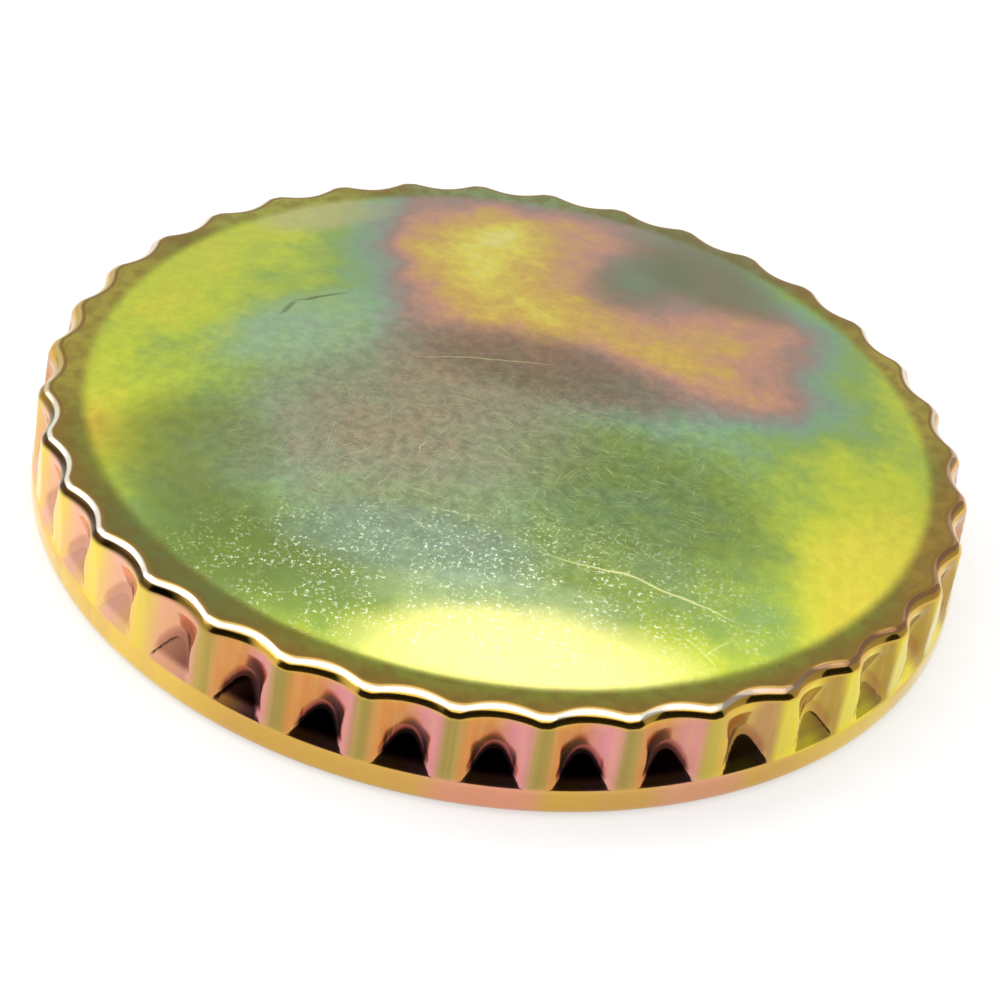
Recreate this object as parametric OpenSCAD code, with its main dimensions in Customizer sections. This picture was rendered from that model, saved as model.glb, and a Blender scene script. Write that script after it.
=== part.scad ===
/* [Crown] */
// Diameter over the ribs of the skirt
cap_d = 66; // [56:1:90]
// Width of the flat band between the dome and the outside of the ribs
band_w = 3.1; // [2:0.1:5]
// Rise of the dome above the flat band
dome_rise = 2.2; // [1:0.1:4]
// Thickness of the pressed sheet
sheet_t = 0.8; // [0.5:0.05:1]
// Bend radius on the inside of the shoulder
bend_r = 0.2; // [0.05:0.05:0.4]

/* [Fluted skirt] */
// Height from the foot of the cap to the flat band
skirt_h = 7.8; // [7:0.1:14]
// Pitch of the flutes, measured round the ribs
flute_pitch = 5.76; // [4.8:0.02:8]
// Depth of a flute where it runs out over the shoulder
flute_top_depth = 0.37; // [0.2:0.01:0.7]
// Depth of a flute where it meets the lip
flute_foot_depth = 1.95; // [1.4:0.05:2.5]
// Drop of the tip of the cone that forms a flute, below the top of the lip
flute_tip_drop = 0.9; // [0.6:0.1:2.4]
// Half angle of the cone that forms a flute
flute_spread = 37; // [26:1:42]

/* [Lip] */
// Height of the hemmed lip under the flutes
lip_h = 2.8; // [2:0.1:3.2]
// How far the lip stands proud of the ribs
lip_proud = 0.15; // [0.05:0.05:0.6]
// Thickness of the hem, from its outside to its bore
lip_t = 1.9; // [1.4:0.1:2.4]
// Radius on the edges of the lip
lip_edge_r = 0.9; // [0.4:0.05:0.95]
// Angle at which the floor of a flute rises from the lip
ramp_angle = 57; // [40:1:62]

/* [Gasket] */
// Width of the gasket from its bore to its outside
gasket_w = 10; // [6:0.1:12]
// Thickness of the gasket at its outer edge
gasket_t = 2.6; // [1.5:0.1:3]
// Clearance between the gasket and the flutes round it
gasket_gap = 0.5; // [0.1:0.05:1]
// Width of the air grooves across the back of the gasket
groove_w = 2; // [1:0.1:3]
// Depth of the air grooves at the outer edge
groove_depth = 0.4; // [0.2:0.05:0.8]
// Number of air grooves, and of notches in the retainer's flange
groove_count = 3; // [2:1:6]

/* [Retainer cup] */
// Width of the flange that is welded under the dome
flange_w = 5; // [3:0.1:6]
// Outside radius of the bend round the cup's floor
cup_corner_r = 1.6; // [1.2:0.1:2.5]
// Clearance between the flange and the bore of the gasket
flange_gap = 0.1; // [0.05:0.05:0.4]

/* [Bayonet spring] */
// Distance from the tips of the two ears to the bore of the gasket
ear_gap = 0.6; // [0.3:0.1:2]
// Thickness of the spring strip
spring_t = 0.9; // [0.6:0.1:1.2]
// Drop from the sealing face to the ears, for the flange of the filler neck
neck_flange_t = 1.2; // [0.8:0.1:1.4]
// Angle that one ear takes round the cap
ear_angle = 52; // [30:1:80]
// Diameter of the hub between the ears
hub_d = 17; // [12:0.5:22]
// Length of the turned-down tip of an ear
tip_len = 2.4; // [1:0.1:4]
// Angle of the turned-down tip
tip_angle = 20; // [5:1:30]

/* [Vent rivet] */
// Diameter of the rivet's shank
shank_d = 4.4; // [3.4:0.1:6]
// Diameter of the vent through the rivet
vent_d = 2; // [1:0.1:2.6]
// Diameter of the rivet's head
head_d = 8; // [7:0.1:11]
// Height of the rivet's head
head_t = 0.9; // [0.6:0.1:1]
// Diameter of the clinched end inside the cup
clinch_d = 7; // [6.4:0.1:9]
// Height of the clinched end
clinch_t = 0.7; // [0.4:0.1:1]

/* [Breather pad] */
// Thickness of the felt pad in the cup
pad_t = 3; // [1.5:0.1:3.5]
// Clearance round the felt pad
pad_gap = 0.15; // [0.05:0.05:0.5]

/* [Hidden] */
$fn = 96;
// Segments of the large circles of the dome
DOME_FN = 720;
// Length by which a cutter runs past the face that it cuts
PAST = 1;
// Depth at which a ramp starts inside the rounding of the lip
RAMP_SINK = 0.1;

cap_r = cap_d / 2;
lip_r = cap_r + lip_proud;
hem_bore_r = lip_r - lip_t;
dome_edge_r = cap_r - band_w;
dome_r = (dome_edge_r * dome_edge_r + dome_rise * dome_rise) / (2 * dome_rise);
dome_z = skirt_h + dome_rise - dome_r;

flute_count = round(PI * cap_d / flute_pitch);
flute_lean = atan((flute_foot_depth - flute_top_depth) / (skirt_h - lip_h));
flute_tip_r = cap_r - flute_foot_depth - flute_tip_drop * tan(flute_lean);
flute_tip_z = lip_h - flute_tip_drop;
flute_len = (skirt_h - flute_tip_z + PAST) * cos(flute_spread) / cos(flute_lean);

// The ramp that closes a flute, from the rounding of the lip inwards and up
ramp_normal = [sin(ramp_angle), cos(ramp_angle)];
ramp_run = flute_foot_depth + lip_proud + PAST;
ramp_start = [lip_r - lip_edge_r, lip_h - lip_edge_r] + (lip_edge_r - RAMP_SINK) * ramp_normal;
ramp_end = ramp_start + ramp_run * [-1, tan(ramp_angle)];
hollow_start = ramp_start - sheet_t * ramp_normal;
hollow_end = ramp_end - sheet_t * ramp_normal;
hem_top_z = hollow_start.y + (hollow_start.x - hem_bore_r) * tan(ramp_angle);

seal_z = skirt_h - sheet_t - gasket_t;
seal_flute_depth = flute_foot_depth - (seal_z - lip_h) * tan(flute_lean);
gasket_r = cap_r - seal_flute_depth - sheet_t / cos(flute_lean) - gasket_gap;
gasket_bore_r = gasket_r - gasket_w;
flange_r = gasket_bore_r - flange_gap;

ear_top_z = seal_z - neck_flange_t;
cup_r = flange_r - flange_w;
cup_bore_r = cup_r - sheet_t;
cup_floor_z = ear_top_z + sheet_t;
pad_r = cup_bore_r - (cup_corner_r - sheet_t) - pad_gap;
ear_r = gasket_bore_r - ear_gap;
tip_x = ear_r - tip_len;

// Half section of a round plate whose upper outer edge is rounded
module plate_section(r, low, high, corner) {
    translate([0, low]) square([r, high - corner - low]);
    translate([0, low]) square([r - corner, high - low]);
    translate([r - corner, high - corner]) circle(r = corner);
}

// Half section of the dome's ball, down to a level
module dome_section(r, low, inset) {
    intersection() {
        translate([0, dome_z]) circle(r = dome_r - inset, $fn = DOME_FN);
        translate([0, low]) square([r, skirt_h + dome_rise]);
    }
}

// The crown and the skirt before fluting, drawn in from the outside by inset
module crown_blank(low, inset) {
    top = skirt_h - inset;
    corner = bend_r + sheet_t - inset;
    rotate_extrude() {
        plate_section(cap_r - inset, low, top, corner);
        dome_section(dome_edge_r, top - sheet_t, inset);
    }
}

// The leaning cone that presses one flute, grown by inset
module flute(inset) {
    back = inset / sin(flute_spread);
    translate([flute_tip_r, 0, flute_tip_z])
        rotate([0, flute_lean + flute_spread, 0])
            translate([0, 0, -back])
                cylinder(h = flute_len + back, r1 = 0, r2 = (flute_len + back) * tan(flute_spread));
}

// The whole ring of flutes, with a rib on the X axis
module flutes(inset) {
    for (i = [0 : flute_count - 1])
        rotate([0, 0, (i + 1 / 2) * 360 / flute_count]) flute(inset);
}

// The lip and the ramps that close the flutes, seen from outside
module lip_outside() {
    rotate_extrude() {
        square([lip_r - lip_edge_r, lip_h]);
        translate([0, lip_edge_r]) square([lip_r, lip_h - 2 * lip_edge_r]);
        translate([lip_r - lip_edge_r, lip_edge_r]) circle(r = lip_edge_r);
        translate([lip_r - lip_edge_r, lip_h - lip_edge_r]) circle(r = lip_edge_r);
        polygon([[0, lip_edge_r], [ramp_start.x, lip_edge_r], ramp_start, ramp_end, [0, ramp_end.y]]);
    }
}

// The bore of the hem and the hollow behind the ramps
module lip_inside() {
    rotate_extrude()
        polygon([
            [0, -PAST], [hem_bore_r, -PAST], [hem_bore_r, hem_top_z], hollow_end, [0, hollow_end.y]
        ]);
}

// The pressed sheet: what lies outside, less what lies one thickness further in
module cap_shell() {
    color("#b9b04a")
        difference() {
            union() {
                difference() {
                    crown_blank(lip_h / 2, 0);
                    flutes(0);
                }
                lip_outside();
            }
            difference() {
                crown_blank(lip_h, sheet_t);
                flutes(sheet_t);
            }
            lip_inside();
        }
}

// One radial cutter for each air groove
module groove_ring(low, inner_r, outer_r) {
    for (i = [0 : groove_count - 1])
        rotate([0, 0, 90 + i * 360 / groove_count])
            translate([inner_r, -groove_w / 2, low])
                cube([outer_r - inner_r, groove_w, skirt_h]);
}

// Flat sealing ring with a back that is crowned to lie on the dome
module gasket() {
    color("#26262a")
        difference() {
            intersection() {
                crown_blank(seal_z, sheet_t);
                cylinder(h = skirt_h + dome_rise, r = gasket_r);
            }
            translate([0, 0, seal_z - PAST])
                cylinder(h = skirt_h + dome_rise, r = gasket_bore_r);
            groove_ring(skirt_h - sheet_t - groove_depth, gasket_bore_r - PAST, gasket_r + PAST);
        }
}

// The region under the dome's sheet, drawn in by inset
module under_dome(r, inset) {
    rotate_extrude() dome_section(r, 0, inset);
}

// Half section of a cup with a rounded floor, drawn in from the outside by inset
module cup_section(inset) {
    low = ear_top_z + inset;
    mirror([0, 1])
        plate_section(cup_r - inset, -skirt_h - dome_rise, -low, cup_corner_r - inset);
}

// Drawn cup with a dished flange, open at the top
module retainer_cup() {
    color("#c2b65c")
        difference() {
            union() {
                intersection() {
                    rotate_extrude() cup_section(0);
                    under_dome(cup_r + PAST, sheet_t);
                }
                difference() {
                    under_dome(flange_r, sheet_t);
                    under_dome(flange_r + PAST, 2 * sheet_t);
                }
            }
            rotate_extrude() cup_section(sheet_t);
            translate([0, 0, ear_top_z - PAST]) cylinder(h = sheet_t + 2 * PAST, d = shank_d);
            groove_ring(cup_floor_z + pad_t, cup_bore_r - PAST, flange_r + PAST);
        }
}

// Felt ring round the clinched end of the rivet
module breather_pad() {
    color("#6e6a60")
        translate([0, 0, cup_floor_z])
            difference() {
                cylinder(h = pad_t, r = pad_r);
                translate([0, 0, -PAST]) cylinder(h = pad_t + 2 * PAST, r = clinch_d / 2 + pad_gap);
            }
}

// Outline of the spring: a hub and two ears
module spring_outline() {
    ear_end = ear_r + PAST;
    reach = ear_end * tan(ear_angle / 2);
    circle(d = hub_d);
    intersection() {
        circle(r = ear_r);
        union() {
            polygon([[0, 0], [ear_end, -reach], [ear_end, reach]]);
            polygon([[0, 0], [-ear_end, reach], [-ear_end, -reach]]);
        }
    }
}

// Side view of the strip, with both tips turned down
module strip_section() {
    fall = 2 * tip_len * tan(tip_angle);
    tip_end = tip_x + 2 * tip_len;
    polygon([
        [-tip_end, -fall], [-tip_x, 0], [tip_x, 0], [tip_end, -fall],
        [tip_end, -fall - spring_t], [tip_x, -spring_t], [-tip_x, -spring_t], [-tip_end, -fall - spring_t]
    ]);
}

// Sprung strip that hooks under the flange of the filler neck
module bayonet_spring() {
    color("#9da0a4")
        difference() {
            intersection() {
                linear_extrude(height = skirt_h) spring_outline();
                translate([0, ear_r, ear_top_z])
                    rotate([90, 0, 0])
                        linear_extrude(height = 2 * ear_r) strip_section();
            }
            cylinder(h = skirt_h, d = shank_d);
        }
}

// Hollow rivet that holds the spring to the cup and lets air in
module vent_rivet() {
    shank_low = ear_top_z - spring_t;
    color("#b5b8bb")
        difference() {
            union() {
                translate([0, 0, shank_low - head_t]) cylinder(h = head_t, d1 = shank_d, d2 = head_d);
                translate([0, 0, shank_low]) cylinder(h = cup_floor_z - shank_low, d = shank_d);
                translate([0, 0, cup_floor_z]) cylinder(h = clinch_t, d1 = clinch_d, d2 = shank_d);
            }
            cylinder(h = skirt_h + dome_rise, d = vent_d);
        }
}

cap_shell();
gasket();
retainer_cup();
breather_pad();
bayonet_spring();
vent_rivet();
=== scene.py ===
# %% [markdown]
# # A pressed fuel cap with a rainbow yellow zinc finish
#
# The cap is one deep-drawn sheet: a shallow dome, a flat band round it, a skirt of flutes for the
# fingers, and a hemmed lip at the foot. The sheet is zinc plated and passivated, and the thin film
# on it shows the colours of oil on water. This lesson loads the measured parts, presses the sheet
# again with a fine mesh, and then spends most of its effort on that film.

# %% Load the measured parts
import math

import bpy
import numpy as np
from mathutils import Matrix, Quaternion, Vector


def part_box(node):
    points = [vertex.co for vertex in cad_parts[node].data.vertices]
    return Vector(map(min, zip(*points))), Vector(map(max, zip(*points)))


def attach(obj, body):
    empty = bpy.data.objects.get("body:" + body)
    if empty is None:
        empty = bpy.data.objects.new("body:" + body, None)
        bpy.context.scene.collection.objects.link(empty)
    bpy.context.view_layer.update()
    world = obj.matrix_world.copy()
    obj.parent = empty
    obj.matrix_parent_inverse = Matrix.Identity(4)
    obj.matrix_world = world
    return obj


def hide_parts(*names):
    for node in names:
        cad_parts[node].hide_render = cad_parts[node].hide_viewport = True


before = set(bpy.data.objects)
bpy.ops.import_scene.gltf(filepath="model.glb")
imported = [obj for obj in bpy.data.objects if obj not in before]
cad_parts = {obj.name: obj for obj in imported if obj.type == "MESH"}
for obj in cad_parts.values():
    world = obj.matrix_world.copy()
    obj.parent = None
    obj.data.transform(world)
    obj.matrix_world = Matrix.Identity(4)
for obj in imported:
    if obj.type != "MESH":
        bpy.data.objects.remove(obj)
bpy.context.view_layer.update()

MM = 0.001

# %% [markdown]
# ## The camera
# The photograph looks down on the cap at about 36 degrees with a long lens, and the picture is
# rolled by nearly ten degrees. A camera could be turned with three angles, but a direction and a
# roll are easier to read: it looks at the middle of the cap's foot and then turns about its own axis.

# %% Stand the camera where the photograph was taken
PHOTO_PX = 1000
SENSOR = 36.0
FOCAL_PX = 3113.0
CAMERA_BACK = 182.65 * MM
CAMERA_HEIGHT = 130.7 * MM
CAMERA_SWING = math.radians(0.476)
CAMERA_ROLL = math.radians(9.565)
CAMERA_AIM = Vector((0.29, 1.06, 0)) * MM
NEAREST = 10 * MM

eye = Vector((CAMERA_BACK * math.sin(CAMERA_SWING), -CAMERA_BACK * math.cos(CAMERA_SWING), CAMERA_HEIGHT))
camera = bpy.data.objects.new("camera", bpy.data.cameras.new("camera"))
bpy.context.scene.collection.objects.link(camera)
camera.data.sensor_width = SENSOR
camera.data.lens = FOCAL_PX / PHOTO_PX * SENSOR
camera.data.clip_start = NEAREST
camera.location = eye
camera.rotation_mode = "QUATERNION"
roll = Quaternion((0, 0, 1), CAMERA_ROLL)
camera.rotation_quaternion = (CAMERA_AIM - eye).to_track_quat("-Z", "Y") @ roll
bpy.context.scene.camera = camera
print("camera:", round(eye.length / MM), "mm away, lens", round(camera.data.lens, 1), "mm")

# %% [markdown]
# ## The pressed sheet
# The skirt is the piece that makes this object. A press forms each flute as a groove that is deep
# and sharp at the lip. Towards the shoulder its floor leans outwards, gets wide and runs out. Flutes
# could be cut out of a turned wall, but a cut leaves ragged edges in a mesh. So the wall's radius is
# a formula of angle and height here, and a smooth minimum rounds the edges between flute and rib.

# %% Sizes of the sheet, in millimetres
SHEET = 0.8
shell_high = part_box("cap_shell")[1]
LIP_R = shell_high.x / MM
CROWN_TOP = shell_high.z / MM
LIP_PROUD = 0.15
RIB_R = LIP_R - LIP_PROUD
FLUTES = 36
SKIRT_H = 7.8
BAND_W = 3.1
DOME_RISE = CROWN_TOP - SKIRT_H
LIP_H = 2.8
LIP_EDGE = 0.9
HEM_T = 1.9
HEM_BORE = LIP_R - HEM_T
SHOULDER_R = 1.0
FLUTE_TOP_DEPTH = 0.37
FLUTE_FOOT_DEPTH = 1.95
FLUTE_LEAN = math.atan((FLUTE_FOOT_DEPTH - FLUTE_TOP_DEPTH) / (SKIRT_H - LIP_H))
# the slope of a flute's flanks, and how its floor is rounded more and more from lip to shoulder
FLUTE_STEEP = 2.0
FLUTE_FOOT_ROUND = 0.6
FLUTE_TOP_ROUND = 7.5
FLUTE_OPENS = 3
# the slope that closes a flute at its foot, and the softness of the fold above it by the flute's depth
RAMP = math.radians(57)
FOLD = 0.4
FOLD_DEPTHS = (0.6, 1.2)
RIB_EDGE = 0.12
print("ribs at", round(RIB_R, 2), "mm, lip at", round(LIP_R, 2), "mm,", FLUTES, "flutes")


# %% The wall of the skirt
def smooth_min(a, b, blend):
    """The smaller of two values, with the corner between them rounded off."""
    near = np.maximum(blend - np.abs(a - b), 0) / blend
    return np.minimum(a, b) - near * near * blend / 4


def smooth_max(a, b, blend):
    """The larger of two values, with the corner between them rounded off."""
    return -smooth_min(-a, -b, blend)


def flute_radius(angle, height, inset):
    """Radius of a flute: a groove with a leaning floor, which is sharp at the lip and wide above."""
    share = np.clip((height - LIP_H) / (SKIRT_H - LIP_H), 0, 1)
    floor = RIB_R - FLUTE_FOOT_DEPTH + (height - LIP_H) * math.tan(FLUTE_LEAN)
    round_floor = FLUTE_FOOT_ROUND + (FLUTE_TOP_ROUND - FLUTE_FOOT_ROUND) * share**FLUTE_OPENS + inset
    corner = FLUTE_STEEP * round_floor
    aside = RIB_R * np.sin(angle)
    return floor - inset + FLUTE_STEEP * (np.hypot(aside, corner) - corner)


def wall_radius(angle, height, inset=0.0):
    """Radius of the skirt's wall, drawn in by inset."""
    rib = np.full_like(height, RIB_R - inset)
    return smooth_min(rib, flute_radius(angle, height, inset), RIB_EDGE)


half_pitch = math.pi / FLUTES
middle = wall_radius(np.zeros(3), np.array([LIP_H, (LIP_H + SKIRT_H) / 2, SKIRT_H]))
print("flute depth at lip, middle and shoulder:", np.round(RIB_R - middle, 2))

# %% [markdown]
# ## One flute as a strip of profiles
# Each meridian of the sheet is one closed profile from the middle of the crown, over the shoulder,
# down the wall, over the lip and back up inside. A stack of such profiles over one flute is a grid
# of points, and the grid is a mesh. A bevel could round the shoulder, but it would be uneven where
# the flutes run out. Here every profile rounds it by itself, so the edge follows the scallops as bent
# sheet does.

# %% Profiles of the outside
COLUMNS = 22
DOME_ROWS = 9
VALLEY_ROWS = 7
BAND_ROWS = 4
BEND_ROWS = 10
# the soft valley between dome and band, how far its rows reach, and how far inside the dome's end
VALLEY = 0.05
VALLEY_REACH = 0.55
DOME_GAP = 0.8
angles = np.linspace(-half_pitch, half_pitch, COLUMNS + 1)[:, None]
dome_edge = RIB_R - BAND_W
dome_ball = (dome_edge**2 + DOME_RISE**2) / (2 * DOME_RISE)
dome_centre = CROWN_TOP - dome_ball


def crown_height(radius, inset=0.0):
    """Height of the dome and the flat band at a radius, drawn in by inset."""
    dome = dome_centre + np.sqrt((dome_ball - inset) ** 2 - radius**2)
    return smooth_max(dome, np.full_like(radius, SKIRT_H - inset), VALLEY)


def steps(start, end, count):
    """Even values from start to end for every column."""
    return start + (end - start) * np.linspace(0, 1, count)


def profile(radius, height):
    """Pairs radius and height up as points of every column's profile."""
    return np.stack(np.broadcast_arrays(radius, height), axis=-1)


def crown_rows(edge, inset=0.0):
    """From the middle of the crown to the start of the shoulder."""
    dome = np.linspace(0, dome_edge - DOME_GAP, DOME_ROWS)
    valley = dome_edge + np.linspace(-VALLEY_REACH, VALLEY_REACH, VALLEY_ROWS)
    inner = np.concatenate([dome, valley])
    band = steps(inner[-1], edge, BAND_ROWS)[:, 1:]
    radius = np.concatenate([np.tile(inner, (COLUMNS + 1, 1)), band], axis=1)
    return profile(radius, crown_height(radius, inset))


def shoulder_rows(bend, inset=0.0):
    """The rounded edge between band and wall: its centre radius, and the arc."""
    level = np.full_like(angles, SKIRT_H - inset - bend)
    step = 0.05
    slope = (wall_radius(angles, level, inset) - wall_radius(angles, level - step, inset)) / step
    tilt = np.arctan(slope)
    centre = wall_radius(angles, level, inset) - bend / np.cos(tilt)
    turn = steps(np.zeros_like(tilt), math.pi / 2 + tilt, BEND_ROWS)[:, 1:]
    return centre, profile(centre + bend * np.sin(turn), level + bend * np.cos(turn))


shoulder_centre, shoulder = shoulder_rows(SHOULDER_R)
crown = crown_rows(shoulder_centre)
print("crown rows:", crown.shape[1], "shoulder rows:", shoulder.shape[1])

# %% The wall down to the lip
WALL_ROWS = 34
LIP_ROWS = 9
lip_centre = np.array([LIP_R - LIP_EDGE, LIP_H - LIP_EDGE])
ramp_normal = np.array([math.sin(RAMP), math.cos(RAMP)])
ramp_start = lip_centre + LIP_EDGE * ramp_normal


def ramp_radius(height, start):
    """Radius of the slope that closes a flute, which climbs inwards from a start point."""
    return start[0] - (height - start[1]) / math.tan(RAMP)


def scooped_radius(angle, height):
    """Radius of the wall with the floor of the flute, and the soft fold between the two."""
    wall = wall_radius(angle, height)
    fold = FOLD * np.clip(RIB_R - wall, *FOLD_DEPTHS)
    return smooth_max(wall, ramp_radius(height, ramp_start), fold)


wall_level = steps(shoulder[:, -1:, 1], np.full_like(angles, ramp_start[1]), WALL_ROWS)[:, 1:]
wall = profile(scooped_radius(angles, wall_level), wall_level)
lip_turn = np.arccos(np.clip((wall[:, -1:, 0] - lip_centre[0]) / LIP_EDGE, -1, 1))
lip_turn = steps(lip_turn, np.zeros_like(lip_turn), LIP_ROWS)[:, 1:]
lip_radius = lip_centre[0] + LIP_EDGE * np.cos(lip_turn)
lip_top = profile(lip_radius, lip_centre[1] + LIP_EDGE * np.sin(lip_turn))
print("the lip starts", round(ramp_start[1], 2), "mm above the foot")

# %% The lip, the hem and the inside of the sheet
# the rounding of the hem's edge, and how far under the lip's top the hem ends inside
HEM_EDGE = 0.25
HEM_GAP = 0.05
BEND_IN = SHOULDER_R - SHEET
INNER_ROWS = 16


def arc(centre, radius, start, end, count):
    """Points of a round edge, the same in every column; angles in degrees, 0 is outwards."""
    turn = np.radians(np.linspace(start, end, count))
    points = np.array(centre) + radius * np.stack([np.cos(turn), np.sin(turn)], axis=-1)
    return np.tile(points, (COLUMNS + 1, 1, 1))


lip_foot = arc((lip_centre[0], LIP_EDGE), LIP_EDGE, start=0, end=-90, count=7)
hem_foot = arc((HEM_BORE + HEM_EDGE, HEM_EDGE), HEM_EDGE, start=-90, end=-180, count=5)

inner_centre, inner_shoulder = shoulder_rows(BEND_IN, SHEET)
hollow_start = ramp_start - SHEET * ramp_normal
inner_level = steps(np.full_like(angles, LIP_H), inner_shoulder[:, -1:, 1], INNER_ROWS)[:, :-1]
hollow = np.minimum(ramp_radius(inner_level, hollow_start), HEM_BORE)
inner_radius = smooth_max(wall_radius(angles, inner_level, SHEET), hollow, RIB_EDGE)
inner_wall = profile(inner_radius, inner_level)
hem_ledge = profile(np.full_like(angles, HEM_BORE), np.full_like(angles, LIP_H - HEM_GAP))
inner_crown = crown_rows(inner_centre, SHEET)[:, ::2]

outside = np.concatenate([crown, shoulder, wall, lip_top, lip_foot], axis=1)
inside = np.concatenate(
    [hem_foot, hem_ledge, inner_wall, inner_shoulder[:, ::-1], inner_crown[:, ::-1]], axis=1)
print("points in a profile:", outside.shape[1], "outside and", inside.shape[1], "inside")


# %% One flute as a mesh
def strip_mesh(name, outside, inside):
    """Turns profiles that stand at the given angles into one sheet of quads, and marks its outside."""
    section = np.concatenate([outside, inside], axis=1)
    radius, height = section[..., 0] * MM, section[..., 1] * MM
    points = np.stack([radius * np.cos(angles), radius * np.sin(angles), height], axis=-1)
    columns, rows = radius.shape
    faces = []
    for column in range(columns - 1):
        for row in range(rows - 1):
            here, there = column * rows + row, (column + 1) * rows + row
            faces.append((here, here + 1, there + 1, there))
    mesh = bpy.data.meshes.new(name)
    mesh.from_pydata(points.reshape(-1, 3).tolist(), [], faces)
    is_outside = np.tile(np.arange(rows) < outside.shape[1], columns).astype(np.float32)
    mesh.attributes.new("outside", "FLOAT", "POINT").data.foreach_set("value", is_outside)
    is_crown = np.tile(np.arange(rows - 1) < crown.shape[1] - 1, columns - 1)
    mesh.attributes.new("crown", "BOOLEAN", "FACE").data.foreach_set("value", is_crown)
    return mesh


flute_strip = bpy.data.objects.new("flute_strip", strip_mesh("flute_strip", outside, inside))
bpy.context.scene.collection.objects.link(flute_strip)
print("one flute:", len(flute_strip.data.polygons), "faces")

# %% [markdown]
# ## The ring of flutes
# Thirty-six flutes could be copied in a loop, but a Geometry Nodes tree says the rule once: put a
# point in the middle for each flute, turn an instance of the strip on every point, and weld them.

# %% Small helpers for node trees
def add_node(tree, kind, settings=None, **values):
    """Adds a node, sets its properties, and sets or links its inputs by name."""
    node = tree.nodes.new(kind)
    for name, value in (settings or {}).items():
        setattr(node, name, value)
    for name, value in values.items():
        feed(tree, node, name.replace("_", " "), value)
    return node


def feed(tree, node, socket, value):
    """Sets an input of a node, or links an output to it; socket is a name or a number."""
    target = node.inputs[socket] if isinstance(socket, int) else next(
        one for one in node.inputs if one.name.lower() == socket.lower() and one.enabled)
    if isinstance(value, bpy.types.NodeSocket):
        tree.links.new(value, target)
    else:
        target.default_value = value


def plain_mesh(carrier):
    """Replaces an object's mesh and modifiers by the finished mesh."""
    graph = bpy.context.evaluated_depsgraph_get()
    finished = bpy.data.meshes.new_from_object(carrier.evaluated_get(graph))
    carrier.modifiers.clear()
    carrier.data = finished
    return carrier


print("helpers:", add_node.__name__, feed.__name__, plain_mesh.__name__)

# %% Turn one strip into the whole ring
# the first flute stands half a pitch round, and points closer than this many metres become one
FIRST_FLUTE = 0.5
WELD = 1e-6


def ring_tree():
    """A node tree that repeats an object round the upright axis and welds the copies."""
    tree = bpy.data.node_groups.new("ring_of_flutes", "GeometryNodeTree")
    for name, kind in (("Strip", "NodeSocketObject"), ("Flutes", "NodeSocketInt"),
                       ("Weld", "NodeSocketFloat"), ("Skirt", "NodeSocketMaterial"),
                       ("Crown", "NodeSocketMaterial")):
        tree.interface.new_socket(name, in_out="INPUT", socket_type=kind)
    tree.interface.new_socket("Geometry", in_out="OUTPUT", socket_type="NodeSocketGeometry")
    given = tree.nodes.new("NodeGroupInput").outputs
    strip = add_node(tree, "GeometryNodeObjectInfo", Object=given["Strip"])
    points = add_node(tree, "GeometryNodePoints", Count=given["Flutes"])
    index = tree.nodes.new("GeometryNodeInputIndex")
    place = add_node(tree, "ShaderNodeMath", {"operation": "ADD"})
    feed(tree, place, 0, index.outputs[0])
    feed(tree, place, 1, FIRST_FLUTE)
    share = add_node(tree, "ShaderNodeMath", {"operation": "DIVIDE"})
    feed(tree, share, 0, place.outputs[0])
    feed(tree, share, 1, given["Flutes"])
    turn = add_node(tree, "ShaderNodeMath", {"operation": "MULTIPLY"})
    feed(tree, turn, 0, share.outputs[0])
    feed(tree, turn, 1, 2 * math.pi)
    spin = add_node(tree, "ShaderNodeCombineXYZ", Z=turn.outputs[0])
    copies = add_node(tree, "GeometryNodeInstanceOnPoints", Points=points.outputs[0],
                      Instance=strip.outputs["Geometry"], Rotation=spin.outputs[0])
    whole = add_node(tree, "GeometryNodeRealizeInstances", Geometry=copies.outputs[0])
    weld = add_node(tree, "GeometryNodeMergeByDistance", Geometry=whole.outputs[0],
                    Distance=given["Weld"])
    smooth = add_node(tree, "GeometryNodeSetShadeSmooth", Geometry=weld.outputs[0])
    skirt = add_node(tree, "GeometryNodeSetMaterial", Geometry=smooth.outputs[0],
                     Material=given["Skirt"])
    on_crown = add_node(tree, "GeometryNodeInputNamedAttribute", {"data_type": "BOOLEAN"}, Name="crown")
    finish = add_node(tree, "GeometryNodeSetMaterial", Geometry=skirt.outputs[0],
                      Selection=on_crown.outputs["Attribute"], Material=given["Crown"])
    tree.links.new(finish.outputs[0], tree.nodes.new("NodeGroupOutput").inputs[0])
    return tree


def with_nodes(name, tree, **inputs):
    """A new object made by a node tree, whose inputs are set by their names in the tree."""
    carrier = bpy.data.objects.new(name, bpy.data.meshes.new(name))
    bpy.context.scene.collection.objects.link(carrier)
    modifier = carrier.modifiers.new("shape", "NODES")
    modifier.node_group = tree
    for item in tree.interface.items_tree:
        if item.in_out == "INPUT" and item.name in inputs:
            modifier[item.identifier] = inputs[item.name]
    return plain_mesh(carrier)


crown_finish = bpy.data.materials.new("crown_film")
skirt_finish = bpy.data.materials.new("skirt_film")
pressed_sheet = with_nodes("pressed_sheet", ring_tree(), Strip=flute_strip, Flutes=FLUTES,
                           Weld=WELD, Skirt=skirt_finish, Crown=crown_finish)
bpy.data.objects.remove(flute_strip)
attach(pressed_sheet, "root")
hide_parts("cap_shell")
print("pressed sheet:", len(pressed_sheet.data.polygons), "faces")

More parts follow.
